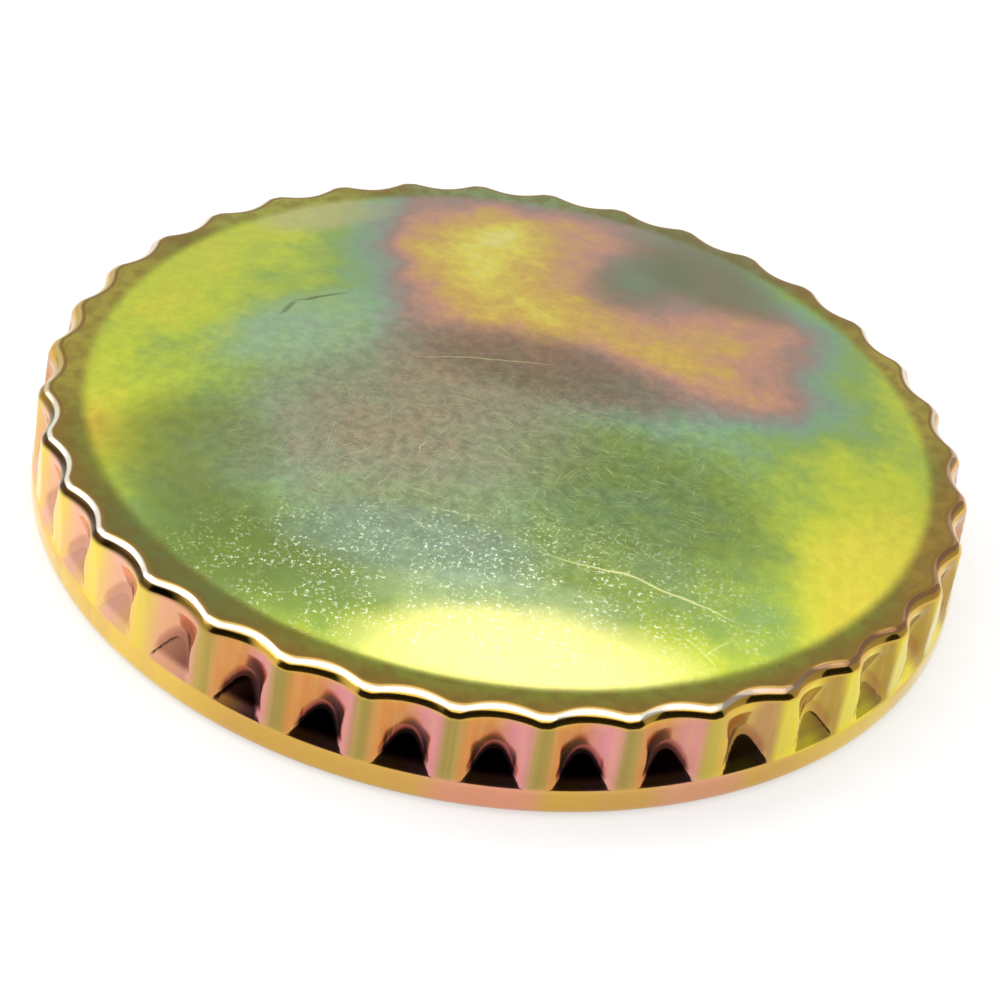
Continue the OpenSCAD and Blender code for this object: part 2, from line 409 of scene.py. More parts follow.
# %% [markdown]
# ## The film on the zinc
# The yellow passivation is a film a few hundred nanometres thick. Light that is reflected from its
# top and from the metal under it interferes, so its colour runs through a fixed order as it gets
# thicker: straw, gold, pink, mauve, teal, green, lime, and round again. A shader has sockets for thin
# films, but an exported model loses them, so here the thickness is painted and a ramp turns it
# into colour. Neighbouring patches then blend through the right colours by themselves.

# %% A brush for node materials
# the middle of what a noise node gives, and the span in which most of its values lie
NOISE_MEAN = 0.5
NOISE_SPAN = (0.3, 0.7)


def linear(hex_colour):
    """A colour written as #rrggbb, as the linear values that a shader wants."""
    shares = [int(hex_colour[place:place + 2], 16) / 255 for place in (1, 3, 5)]
    return tuple(c / 12.92 if c <= 0.04045 else ((c + 0.055) / 1.055) ** 2.4 for c in shares) + (1.0,)


class Paint:
    """A material with a few brushes; every brush returns the socket that it made."""

    def __init__(self, material, **constants):
        material.use_nodes = True
        self.tree = material.node_tree
        self.shader = self.tree.nodes["Principled BSDF"]
        for name, value in constants.items():
            feed(self.tree, self.shader, name.replace("_", " "), value)
        place = self.tree.nodes.new("ShaderNodeTexCoord").outputs["Object"]
        self.point = self.vector("SCALE", place, Scale=1 / MM)
        self.flat = self.vector("MULTIPLY", self.point, (1, 1, 0))

    def set(self, **sockets):
        """Links sockets to inputs of the shader."""
        for name, socket in sockets.items():
            feed(self.tree, self.shader, name.replace("_", " "), socket)

    def vector(self, operation, first, second=None, **values):
        """Vector arithmetic."""
        node = add_node(self.tree, "ShaderNodeVectorMath", {"operation": operation}, **values)
        feed(self.tree, node, 0, first)
        if second is not None:
            feed(self.tree, node, 1, second)
        return node.outputs["Value" if operation in ("LENGTH", "DOT_PRODUCT") else "Vector"]

    def sum(self, operation, *values):
        """Arithmetic on plain numbers."""
        node = add_node(self.tree, "ShaderNodeMath", {"operation": operation})
        for place, value in enumerate(values):
            feed(self.tree, node, place, value)
        return node.outputs[0]

    def ease(self, value, start, end, low=0.0, high=1.0):
        """Runs smoothly from low to high while a value runs from start to end."""
        node = add_node(self.tree, "ShaderNodeMapRange", {"interpolation_type": "SMOOTHSTEP"}, Value=value)
        for name, number in (("From Min", start), ("From Max", end), ("To Min", low), ("To Max", high)):
            feed(self.tree, node, name, number)
        return node.outputs[0]

    def mix(self, share, first, second):
        """Mixes two numbers."""
        node = add_node(self.tree, "ShaderNodeMix", {"data_type": "FLOAT"})
        for place, value in zip((0, 2, 3), (share, first, second)):
            feed(self.tree, node, place, value)
        return node.outputs[0]

    def blend(self, share, first, second, kind="MIX"):
        """Mixes two colours."""
        node = add_node(self.tree, "ShaderNodeMix", {"data_type": "RGBA", "blend_type": kind})
        for place, value in zip((0, 6, 7), (share, first, second)):
            feed(self.tree, node, place, value)
        return node.outputs[2]

    def noise(self, point, per_mm, detail=2.0, rough=0.5, output=0, dimensions="2D"):
        """Cloudy noise; per_mm is how many clouds lie in a millimetre."""
        node = add_node(self.tree, "ShaderNodeTexNoise", {"noise_dimensions": dimensions}, Vector=point,
                        Scale=per_mm, Detail=detail, Roughness=rough)
        return node.outputs[output]

    def stray(self, point, per_mm, reach):
        """Moves a point about by noise, so that painted shapes get a wandering edge."""
        cloud = self.vector("SUBTRACT", self.noise(point, per_mm, output=1), (NOISE_MEAN,) * 3)
        return self.vector("ADD", point, self.vector("SCALE", cloud, Scale=2 * reach))

    def turned(self, point, turn, size):
        """How far a point lies along and across a direction, in shares of a length and a width."""
        along, across = math.cos(math.radians(turn)), math.sin(math.radians(turn))
        return (self.vector("DOT_PRODUCT", point, (along / size[0], across / size[0], 0)),
                self.vector("DOT_PRODUCT", point, (-across / size[1], along / size[1], 0)))

    def reach(self, point, place, size, turn):
        """The square of how far a point lies from a place, in sizes of an ellipse."""
        away = self.vector("SUBTRACT", point, (place[0], place[1], 0))
        along, across = self.turned(away, turn, size)
        return self.sum("MULTIPLY_ADD", along, along, self.sum("MULTIPLY", across, across))

    def spot(self, point, place, size, turn=0.0, soft=0.85):
        """A soft ellipse, 1 inside and 0 outside; size is where its edge is half way down."""
        return self.ease(self.reach(point, place, size, turn), 1 - soft, 1 + soft, 1.0, 0.0)

    def glow(self, point, place, size, turn=0.0):
        """A spot with a long soft tail: 1 in its middle, half at its size, and never quite 0."""
        return self.sum("POWER", 0.5, self.reach(point, place, size, turn))

    def ramp(self, value, stops):
        """Turns a number from 0 to 1 into a colour."""
        node = add_node(self.tree, "ShaderNodeValToRGB", Fac=value)
        while len(node.color_ramp.elements) < len(stops):
            node.color_ramp.elements.new(1.0)
        for element, (place, colour) in zip(node.color_ramp.elements, stops):
            element.position = place
            element.color = linear(colour)
        return node.outputs[0]

    def bump(self, height, depth):
        """Small relief; depth is its height in millimetres."""
        node = add_node(self.tree, "ShaderNodeBump", Height=height, Distance=depth * MM, Strength=1.0)
        self.set(Normal=node.outputs[0])


print("brushes:", [name for name in vars(Paint) if not name.startswith("_")])

# %% The order of the film's colours
FILM_END = 1.2
FILM_ORDER = (
    (0.00, "#dcd894"), (0.08, "#d9cc52"), (0.17, "#caa757"), (0.27, "#c09078"), (0.36, "#a08678"),
    (0.45, "#8e9484"), (0.54, "#84a480"), (0.65, "#90aa54"), (0.77, "#bac640"), (0.90, "#cfc644"),
    (1.02, "#c4963a"), (1.20, "#bc7c66"),
)


def film_colour(paint, thickness):
    """The colour of a film of some thickness, in the order above."""
    share = paint.sum("DIVIDE", thickness, FILM_END)
    return paint.ramp(share, [(place / FILM_END, colour) for place, colour in FILM_ORDER])


print("film colours:", len(FILM_ORDER))

# %% [markdown]
# ## The colours of the crown
# The film's thickness over the crown is a stack of soft ellipses: each pulls the thickness towards
# its own value, and has a long tail, so that neighbours melt into each other as they do in the bath.
# The point that they read wanders a little, so no edge looks like an ellipse. Noise alone could make
# such clouds too, but it can't put them where this cap has them. A second stack lays dull colours
# over some places, and a pale painted highlight with a pale painted haze at the front of the crown.

# %% Where the film on the crown is thick and thin
# place x, y, half size x, y, turn in degrees, film thickness
CROWN_FILM = (
    (0, -12, 18, 12, 0, 0.63),
    (2, 20, 10, 9, 0, 0.38),
    (13, 12, 8.5, 7, -20, 0.36),
    (-6.5, -4, 13.5, 10, 20, 0.37),
    (1, 4, 11, 5, -8, 0.36),
    (-26, 10, 8.5, 15, 0, 0.80),
    (27.5, -1, 8.5, 13, 0, 0.77),
    (27, -11, 5, 7, 0, 0.88),
    (24.5, -17, 2.5, 3.5, -20, 0.95),
    (24, 9, 3, 7, 8, 0.67),
    (-16, 5, 6, 3, 38, 0.57),
    (-12.8, 18, 2.2, 10, 3, 0.60),
    (-9.3, 20, 2, 9, 4, 0.28),
    (3.5, 26.5, 5, 3.2, -8, 0.27),
    (18, 16, 4, 4, 0, 0.30),
    (14, 23.5, 4.5, 3.2, -40, 0.43),
    (7, 20, 2.4, 4.5, -30, 0.51),
    (17, 6, 3, 2.5, 0, 0.29),
    (12.5, 9.5, 6.5, 4.8, -15, 0.25),
    (-3.8, 19, 4.9, 9.5, 6, 0.09),
    (-3.5, 22.5, 2.6, 5, 5, 0.04),
    (-1, 12.5, 4.6, 3.2, -30, 0.11),
    (6.5, 11, 4.5, 2.4, -10, 0.20),
    (13, 10.5, 5.2, 3.7, -20, 0.17),
    (10, -8, 8.5, 6.5, -20, 0.62),
    (-28, -9, 3, 4.4, 0, 0.93),
    (-5, -17, 9, 4.2, -5, 0.54),
    (-13, -24, 7, 4, -28, 0.64),
    (5, -27, 11, 3.2, 5, 0.84),
)
FILM_GROUND = 0.72
# clouds in a millimetre, and how much they change the thickness
FILM_CLOUDS = ((0.14, 0.18), (0.45, 0.13), (1.5, 0.06))


def crown_film(paint, point):
    """Thickness of the film over the crown."""
    film = FILM_GROUND
    for x, y, wide, high, turn, thickness in CROWN_FILM:
        film = paint.mix(paint.glow(point, (x, y), (wide, high), turn), film, thickness)
    for per_mm, depth in FILM_CLOUDS:
        cloud = paint.sum("SUBTRACT", paint.noise(paint.flat, per_mm), NOISE_MEAN)
        film = paint.sum("MULTIPLY_ADD", cloud, depth, film)
    return film


print("film patches:", len(CROWN_FILM))

# %% Where the crown is dull, and where a highlight is painted on it
# place x, y, half size x, y, turn in degrees, colour, how much of it
CROWN_DULL_AND_HIGHLIGHT = (
    (-2, -19, 16, 6.5, 0, "#6f7b3a", 0.6),
    (-18, -20, 6.5, 4.5, -35, "#6c7a38", 0.5),
    (10, -9, 9, 7, -20, "#62743a", 0.7),
    (-6, -4, 12, 10, 20, "#8e8662", 0.6),
    (2, 4, 9, 4, -8, "#74644c", 0.7),
    (26, -13, 5, 8, -10, "#e4d44c", 0.6),
    (13, 23, 7, 4.5, -40, "#767048", 0.75),
    (7.5, 20, 3.4, 6, -32, "#66724c", 0.5),
    (-16, 5, 6.5, 4, 38, "#a8c09a", 0.35),
    (-17, 23.5, 5, 3, 35, "#bdb488", 0.6),
    (-21, -11, 6, 6, 15, "#6a6c36", 0.6),
    (-14, -22, 9, 5, -30, "#5c6c30", 0.6),
    (-5, -18, 8, 3.5, -5, "#7c9086", 0.5),
    # the next two spots are a pale painted haze and a painted highlight at the front of the crown
    (1, -22.5, 8, 2.4, 4, "#c4d8c0", 0.2),
    (4, -27, 10, 3.8, 6, "#f0e890", 0.9),
)


def spotted(paint, point, colour, spots):
    """Lays soft spots of other colours over a colour."""
    for x, y, wide, high, turn, tint, share in spots:
        mask = paint.sum("MULTIPLY", paint.spot(point, (x, y), (wide, high), turn), share)
        colour = paint.blend(mask, colour, linear(tint))
    return colour


def toned(paint, colour, shade):
    """Makes a colour lighter or darker by a number."""
    tone = add_node(paint.tree, "ShaderNodeCombineColor", Red=shade, Green=shade, Blue=shade).outputs[0]
    return paint.blend(1.0, colour, tone, "MULTIPLY")


print("rubbed patches:", len(CROWN_DULL_AND_HIGHLIGHT))

# %% [markdown]
# ## Marks on the crown
# Hands, tools and other caps have left fine scratches, and the pale flecks are painted glints. They
# could be thin pieces of mesh, but they have no depth that shows, so they are painted. A few long
# scratches are placed one by one. The hairlines are noise that is stretched in one direction and cut
# off near its peaks, and the flecks are small noise cut off the same way, thickest where the light
# catches them, near the painted highlight at the front.

# %% Scratches, hairlines and flecks
# place x, y, half length, half width, turn in degrees, strength; a negative strength is a dark scratch
SCRATCHES = (
    (10, -18.2, 6.0, 0.10, -10, 0.6),
    (-2.5, 3.8, 4.5, 0.09, 10, 0.3),
    (-14.8, 9.3, 1.9, 0.18, 25, -0.6),
    (-17, 7.2, 1.0, 0.24, 70, -0.5),
    (14.8, -23.5, 1.6, 0.09, -40, 0.3),
    (15.6, -22.6, 1.4, 0.09, 55, 0.3),
)
HAIRLINE_TURNS = (12, -28, 68)
HAIRLINE_SIZE = (2.6, 0.13)
HAIRLINE_CUT = (0.62, 0.80)
HAIRLINE_SHARE = 0.3
SCRATCH_LIGHT = "#e6e6a0"
SCRATCH_DARK = "#4c4c22"
# the pale flecks are painted glints
FLECK_GLINT = "#eaf4de"
FLECK_CUT = (0.56, 0.67)
FLECK_CLOUDS = (0.3, 0.6)
FLECK_SHARE = 0.9


def hairlines(paint, point, turn):
    """1 on fine scratches in one direction, 0 beside them."""
    along, across = paint.turned(point, turn, HAIRLINE_SIZE)
    stretched = add_node(paint.tree, "ShaderNodeCombineXYZ", X=along, Y=across).outputs[0]
    return paint.ease(paint.noise(stretched, per_mm=1.0, rough=0.6), *HAIRLINE_CUT)


def crown_marks(paint, point, colour):
    """Hairlines and scratches on the handled part of the crown, and flecks of painted glint near its
    front.
    """
    handled = paint.spot(paint.flat, place=(0, -10), size=(18, 12))
    curved = paint.stray(paint.flat, per_mm=0.3, reach=0.8)
    for turn in HAIRLINE_TURNS:
        line = paint.sum("MULTIPLY", hairlines(paint, curved, turn), handled)
        line = paint.sum("MULTIPLY", line, HAIRLINE_SHARE)
        colour = paint.blend(line, colour, linear(SCRATCH_LIGHT))
    # painted glints: pale flecks, thickest near the painted highlight at the front of the crown
    glint_zone = paint.spot(paint.flat, place=(0, -21), size=(18, 7), turn=4, soft=0.95)
    cloud = paint.ease(paint.noise(paint.flat, per_mm=0.45), *FLECK_CLOUDS)
    fleck = paint.ease(paint.noise(paint.flat, per_mm=3.0, detail=4.0, rough=0.75), *FLECK_CUT)
    light = paint.sum("MULTIPLY", paint.sum("MULTIPLY", fleck, cloud), glint_zone)
    colour = paint.blend(paint.sum("MULTIPLY", light, FLECK_SHARE), colour, linear(FLECK_GLINT))
    for x, y, length, width, turn, strength in SCRATCHES:
        line = paint.sum("MULTIPLY", paint.spot(point, (x, y), (length, width), turn), abs(strength))
        colour = paint.blend(line, colour, linear(SCRATCH_LIGHT if strength > 0 else SCRATCH_DARK))
    return colour


print("scratches:", len(SCRATCHES), "and hairlines in", len(HAIRLINE_TURNS), "directions")

# %% [markdown]
# ## The crown and its band
# The flat band round the dome is olive near the dome and brown towards the shoulder. The film's
# colours stop near the dome's edge, on a circle that lies a little off the middle, as dipped
# parts show. The dome is slightly rough from handling, and the band is as smooth as the skirt. Dome
# and band could be two materials, but one that blends across the valley shows no hard line.

# %% Colours of the band
# place x, y, half size x, y, turn in degrees, colour, how much of it
BAND_TINTS = (
    (-22, -24, 9, 8, 0, "#6e7440", 0.8),
    (-33, 4, 8, 12, 0, "#ab9e42", 0.9),
    (-22, 25, 8, 7, 0, "#a6a84a", 0.9),
    (-4, 33, 9, 6, 0, "#869a68", 0.9),
    (13, 30, 9, 7, 0, "#7d8054", 0.9),
    (30, 14, 7, 9, 0, "#aa9a44", 0.9),
    (33, -8, 6, 9, 0, "#a08238", 0.9),
)
BAND_INNER = "#828838"
BAND_OUTER = "#8d7034"
BAND_CLOUD = "#7a602e"
BAND_CLOUD_CUT = (0.35, 0.65)
BAND_CLOUD_SHARE = 0.45
BAND_EDGE = 0.8


def band_colour(paint):
    """Olive near the dome and brown near the shoulder, with slow changes round the cap."""
    radius = paint.vector("LENGTH", paint.flat)
    outwards = paint.ease(radius, dome_edge, RIB_R - BAND_EDGE)
    colour = paint.blend(outwards, linear(BAND_INNER), linear(BAND_OUTER))
    colour = spotted(paint, paint.flat, colour, BAND_TINTS)
    cloud = paint.ease(paint.noise(paint.flat, per_mm=0.7, detail=3.0), *BAND_CLOUD_CUT)
    return paint.blend(paint.sum("MULTIPLY", cloud, BAND_CLOUD_SHARE), colour, linear(BAND_CLOUD))


print("band tints:", len(BAND_TINTS))

# %% The finish of the crown
# where the film's circle lies, and how far inside and outside the dome's edge it fades
FILM_MIDDLE = (0.1, 0.35, 0)
FILM_INSIDE = 0.4
FILM_OUTSIDE = 0.7
# how much the grain changes the colour where the crown is untouched and where it is rubbed
GRAIN_SHARES = (0.05, 0.17)
GRAIN_RELIEF = 0.004
DOME_ROUGH = (0.32, 0.42)
MIRROR_ROUGH = 0.13

crown_paint = Paint(crown_finish, Metallic=1.0)
wandering = crown_paint.stray(crown_paint.flat, per_mm=0.08, reach=1.4)
wandering = crown_paint.stray(wandering, per_mm=0.4, reach=0.3)
grain = crown_paint.noise(crown_paint.flat, per_mm=1.0, detail=6.0, rough=0.75)
off_middle = crown_paint.vector("LENGTH", crown_paint.vector("SUBTRACT", crown_paint.flat, FILM_MIDDLE))
on_band = crown_paint.ease(off_middle, dome_edge - FILM_INSIDE, dome_edge + FILM_OUTSIDE)
colour = film_colour(crown_paint, crown_film(crown_paint, wandering))
# dull patches, and the painted highlight and haze at the front of the crown
colour = spotted(crown_paint, wandering, colour, CROWN_DULL_AND_HIGHLIGHT)
rubbed = crown_paint.spot(crown_paint.flat, place=(-1, -7), size=(18, 15))
grain_share = crown_paint.mix(rubbed, *GRAIN_SHARES)
swing = crown_paint.ease(grain, *NOISE_SPAN, low=-1.0, high=1.0)
shade = crown_paint.sum("MULTIPLY_ADD", swing, grain_share, 1.0)
colour = toned(crown_paint, colour, shade)
colour = crown_marks(crown_paint, wandering, colour)
crown_paint.set(Base_Color=crown_paint.blend(on_band, colour, band_colour(crown_paint)))
dome_rough = crown_paint.ease(grain, *NOISE_SPAN, *DOME_ROUGH)
crown_paint.set(Roughness=crown_paint.mix(on_band, dome_rough, MIRROR_ROUGH))
crown_paint.bump(crown_paint.mix(on_band, grain, NOISE_MEAN), GRAIN_RELIEF)
print("crown finish:", len(crown_finish.node_tree.nodes), "nodes")

# %% [markdown]
# ## Shoulder, flutes and lip
# On the skirt each flute shows two colours, because the film grew differently on its two flanks:
# orange or yellow on the left, pink or tan on the right, and olive on the ribs. Deep in a flute the
# film is dark red, partly its own colour and partly painted shade, and on the near side it is painted
# nearly black as a painted dark reflection. That hollow ends along the edge of the sloping floor, so
# its mask measures how far a point lies from the slope. A picture wrapped round the skirt could hold
# all this, but the angle round the cap and that distance say it in a few lines and stay sharp at any size.

# %% Colours of the shoulder
# place x, y, half size x, y, turn in degrees, colour, how much of it
SHOULDER_TINTS = (
    (-34, 4, 8, 11, 0, "#c8aa52", 0.9),
    (0, 34, 27, 20, 0, "#b09a52", 0.9),
    (30, -12, 17, 20, 0, "#b07c52", 0.95),
)
# the near-white of the shoulder is a painted highlight, which adds to the real one that the overhead lamp
# makes
SHOULDER_PAINTED_HIGHLIGHT = "#f8f0dc"
SHOULDER_GOLD = "#d8ac4c"
# the brown line under the shoulder at the left is a painted dark reflection
SHOULDER_DARK_REFLECTION = "#4a3418"
# how far under the band the band's own brown ends, and how far under it the line of gold begins
BAND_END = (0.02, 0.08)
LINE_START = (0.17, 0.26)


def under_band(paint, height, depths):
    """Runs from 0 to 1 between two depths under the band."""
    return paint.ease(height, SKIRT_H - depths[0], SKIRT_H - depths[1])


def shoulder_colour(paint, height):
    """Near-white on the near side as a painted highlight, gold or tan elsewhere, and a line of gold under
    it, which at the left is a painted dark reflection.
    """
    colour = spotted(paint, paint.flat, linear(SHOULDER_PAINTED_HIGHLIGHT), SHOULDER_TINTS)
    at_left = paint.spot(paint.flat, place=(-26, -18), size=(14, 14))
    edge = paint.blend(at_left, linear(SHOULDER_GOLD), linear(SHOULDER_DARK_REFLECTION))
    colour = paint.blend(under_band(paint, height, LINE_START), colour, edge)
    return paint.blend(under_band(paint, height, BAND_END), linear(BAND_OUTER), colour)


print("shoulder tints:", len(SHOULDER_TINTS))

# %% Colours of the flutes
# place x, y, half size x, y and turn in degrees of the cap's left and right sides
LEFT_SIDE = (-27, -16, 13, 14, 0)
RIGHT_SIDE = (28, -16, 15, 16, 0)
# the colours on the near and far sides, and then those of the left and right sides
LEFT_FLANK = "#cf8b4c"
LEFT_FLANKS = ((*LEFT_SIDE, "#f2b8a0", 0.95), (*RIGHT_SIDE, "#ecdc3c", 0.95))
RIGHT_FLANK = "#d88c90"
RIGHT_FLANKS = ((*LEFT_SIDE, "#f0c47c", 0.9), (*RIGHT_SIDE, "#a88e38", 0.95))
RIB = "#a08c4a"
RIBS = ((*LEFT_SIDE, "#f8dc58", 0.95), (*RIGHT_SIDE, "#e6d840", 0.95))
STREAK = "#d8b070"
STREAK_CUT = (0.4, 0.7)
STREAK_SHARE = 0.22
# in widths of a flute: where one flank's colour gives way to the other's, and, from the flute's
# middle, where the rib's colour begins at most places and on the left side, and where it is full
FLANK_CHANGE = (0.40, 0.72)
RIB_STARTS = (0.30, 0.12)
RIB_FULL = 0.47


def skirt_colour(paint):
    """One colour on each flank of a flute and another on the ribs, with slow changes round the cap."""
    parts = add_node(paint.tree, "ShaderNodeSeparateXYZ", Vector=paint.point).outputs
    angle = paint.sum("ARCTAN2", parts["Y"], parts["X"])
    place = paint.sum("FRACT", paint.sum("MULTIPLY", angle, FLUTES / (2 * math.pi)))
    left = spotted(paint, paint.flat, linear(LEFT_FLANK), LEFT_FLANKS)
    right = spotted(paint, paint.flat, linear(RIGHT_FLANK), RIGHT_FLANKS)
    rib = spotted(paint, paint.flat, linear(RIB), RIBS)
    colour = paint.blend(paint.ease(place, *FLANK_CHANGE), left, right)
    at_left = paint.spot(paint.flat, place=LEFT_SIDE[:2], size=LEFT_SIDE[2:4])
    rib_start = paint.mix(at_left, *RIB_STARTS)
    aside = paint.sum("ABSOLUTE", paint.sum("SUBTRACT", place, FIRST_FLUTE))
    colour = paint.blend(paint.ease(aside, rib_start, RIB_FULL), colour, rib)
    streak = paint.ease(paint.noise(paint.flat, per_mm=1.3, detail=3.0, rough=0.6), *STREAK_CUT)
    return paint.blend(paint.sum("MULTIPLY", streak, STREAK_SHARE), colour, linear(STREAK))


print("tints of flanks and ribs:", len(LEFT_FLANKS + RIGHT_FLANKS + RIBS))

# %% Colours of the lip
# place x, y, half size x, y, turn in degrees, colour, how much of it
LIP_TINTS = (
    (-27, -18, 14, 15, 0, "#ecca60", 0.95),
    (2.5, -33, 3.6, 4, 0, "#dc957e", 0.9),
    (16, -29, 2.8, 3.5, 0, "#d89a80", 0.8),
    (30, -12, 12, 14, 0, "#e4c850", 0.9),
)
LIP_GOLD = "#cfa652"
LIP_CLOUD = "#cc9468"
LIP_CLOUD_CUT = (0.35, 0.7)
LIP_CLOUD_SHARE = 0.25


def lip_colour(paint):
    """Gold with stretches of pink."""
    wandering = paint.stray(paint.flat, per_mm=0.2, reach=1.5)
    colour = spotted(paint, wandering, linear(LIP_GOLD), LIP_TINTS)
    cloud = paint.ease(paint.noise(paint.flat, per_mm=0.3, detail=3.0), *LIP_CLOUD_CUT)
    return paint.blend(paint.sum("MULTIPLY", cloud, LIP_CLOUD_SHARE), colour, linear(LIP_CLOUD))


print("lip tints:", len(LIP_TINTS))

# %% Where the colours of the skirt lie
# depths under the band where the shoulder ends, and depths under the lip's edge where its gold begins
SHOULDER_END = (0.5, 0.9)
LIP_START = (0.4, 0.7)

skirt_paint = Paint(skirt_finish, Metallic=1.0, Roughness=MIRROR_ROUGH)
height = add_node(skirt_paint.tree, "ShaderNodeSeparateXYZ", Vector=skirt_paint.point).outputs["Z"]
radius = skirt_paint.vector("LENGTH", skirt_paint.flat)
outside_mark = add_node(skirt_paint.tree, "ShaderNodeAttribute", {"attribute_name": "outside"})
on_outside = outside_mark.outputs["Fac"]
below_shoulder = under_band(skirt_paint, height, SHOULDER_END)
on_lip = skirt_paint.ease(height, LIP_H - LIP_START[0], LIP_H - LIP_START[1])
lip_gold = lip_colour(skirt_paint)
on_shoulder = shoulder_colour(skirt_paint, height)
colour = skirt_paint.blend(below_shoulder, on_shoulder, skirt_colour(skirt_paint))
print("skirt finish without its hollows:", len(skirt_finish.node_tree.nodes), "nodes")

# %% The painted shade in the hollows of the flutes, and the finish of the skirt
# the deep red in the flutes is partly the film's colour and partly painted shade; the near black is a
# painted dark reflection
DEEP_RED_SHADE = "#90423e"
HOLLOW_DARK_REFLECTION = "#180c0c"
# how much painted red shade the flutes have round the cap and at the front, and how far from the slope
# each colour ends
RED_SHARES = (0.35, 0.85)
RED_REACH = (0.75, 0.3)
DARK_REACH = (0.36, 0.1)
# how deep under the ribs a flute's own colours begin
FLUTE_START = (0.15, 0.5)
LIP_FOOT = "#7a6428"
LIP_FOOT_REACH = (0.45, 0.1)
LIP_FOOT_SHARE = 0.7

off_ramp = skirt_paint.sum("MULTIPLY_ADD", height, 1 / math.tan(RAMP), radius)
off_ramp = skirt_paint.sum("SUBTRACT", off_ramp, ramp_start[0] + ramp_start[1] / math.tan(RAMP))
under_ribs = skirt_paint.ease(radius, RIB_R - FLUTE_START[0], RIB_R - FLUTE_START[1])
in_flute = skirt_paint.sum("MULTIPLY", below_shoulder, under_ribs)
# the painted shade and the painted dark reflection are strongest on the near side
at_front = skirt_paint.spot(skirt_paint.flat, place=(0, -38), size=(25, 15), soft=0.6)
red_shade_share = skirt_paint.sum("MULTIPLY", in_flute, skirt_paint.mix(at_front, *RED_SHARES))
in_red_shade = skirt_paint.sum("MULTIPLY", red_shade_share, skirt_paint.ease(off_ramp, *RED_REACH))
colour = skirt_paint.blend(in_red_shade, colour, linear(DEEP_RED_SHADE))
dark_reflection_share = skirt_paint.sum("MULTIPLY", in_flute, at_front)
in_dark_reflection = skirt_paint.sum("MULTIPLY", dark_reflection_share, skirt_paint.ease(off_ramp, *DARK_REACH))
colour = skirt_paint.blend(in_dark_reflection, colour, linear(HOLLOW_DARK_REFLECTION))
colour = skirt_paint.blend(on_lip, colour, lip_gold)
at_foot = skirt_paint.ease(height, *LIP_FOOT_REACH, high=LIP_FOOT_SHARE)
colour = skirt_paint.blend(at_foot, colour, linear(LIP_FOOT))
skirt_paint.set(Base_Color=skirt_paint.blend(on_outside, lip_gold, colour))
print("skirt finish:", len(skirt_finish.node_tree.nodes), "nodes")

# %% [markdown]
# ## The parts underneath
# The gasket, the cup, the felt, the spring and the rivet keep their measured shapes and only get
# finishes. Rubber is black with a dull bloom, the cup is bright zinc with a spangle of large
# crystals, felt is a tangle of short fibres, and the spring is tempered steel with drawing lines.
# Plain colours would do for pieces that hide under the cap, but each of these is one or two noises
# in the round, so they look right from every side without any unwrapping.

# %% Rubber and felt
def finish_part(node, name, **constants):
    """A new finish in every material slot of a measured part."""
    finish = bpy.data.materials.new(name)
    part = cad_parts[node]
    if not part.material_slots:
        part.data.materials.append(finish)
    for slot in part.material_slots:
        slot.material = finish
    return Paint(finish, **constants)


rubber = finish_part("gasket", "black_rubber", Metallic=0.0)
bloom = rubber.noise(rubber.point, per_mm=0.35, detail=4.0, rough=0.6, dimensions="3D")
pores = rubber.noise(rubber.point, per_mm=6.0, detail=3.0, rough=0.6, dimensions="3D")
rubber.set(Base_Color=rubber.ramp(bloom, [(0.3, "#161615"), (0.55, "#20201e"), (0.75, "#34332f")]))
rubber.set(Roughness=rubber.ease(bloom, *NOISE_SPAN, low=0.42, high=0.68))
rubber.bump(pores, depth=0.02)

FIBRE_STRETCH = (1.0, 5.0, 5.0)
felt = finish_part("breather_pad", "grey_felt", Metallic=0.0, Roughness=0.95, Sheen_Weight=0.4)
tangle = felt.stray(felt.point, per_mm=0.9, reach=0.8)
drawn_out = felt.vector("MULTIPLY", tangle, FIBRE_STRETCH)
fibres = felt.noise(drawn_out, per_mm=1.2, detail=4.0, rough=0.7, dimensions="3D")
felt.set(Base_Color=felt.ramp(fibres, [(0.3, "#4d473d"), (0.5, "#837a6a"), (0.7, "#b3a992")]))
felt.bump(fibres, depth=0.12)
print("rubber on the gasket, felt on the breather pad")

# %% Zinc, spring steel and rivet steel
CRYSTALS_PER_MM = 0.45
CRYSTAL_SHADES = 3.0
zinc = finish_part("retainer_cup", "bright_zinc", Metallic=1.0)
uneven = zinc.stray(zinc.point, per_mm=0.5, reach=0.6)
crystals = add_node(zinc.tree, "ShaderNodeTexVoronoi", Vector=uneven, Scale=CRYSTALS_PER_MM)
spangle = zinc.sum("FRACT", zinc.sum("MULTIPLY", crystals.outputs["Color"], CRYSTAL_SHADES))
stain = zinc.noise(zinc.point, per_mm=0.12, detail=3.0, dimensions="3D")
tint = zinc.ramp(stain, [(0.35, "#b4bcc2"), (0.5, "#c2c3bd"), (0.65, "#c9bf9a")])
zinc.set(Base_Color=toned(zinc, tint, zinc.ease(spangle, 0.0, 1.0, low=0.82, high=1.05)))
zinc.set(Roughness=zinc.ease(spangle, 0.0, 1.0, low=0.24, high=0.40))

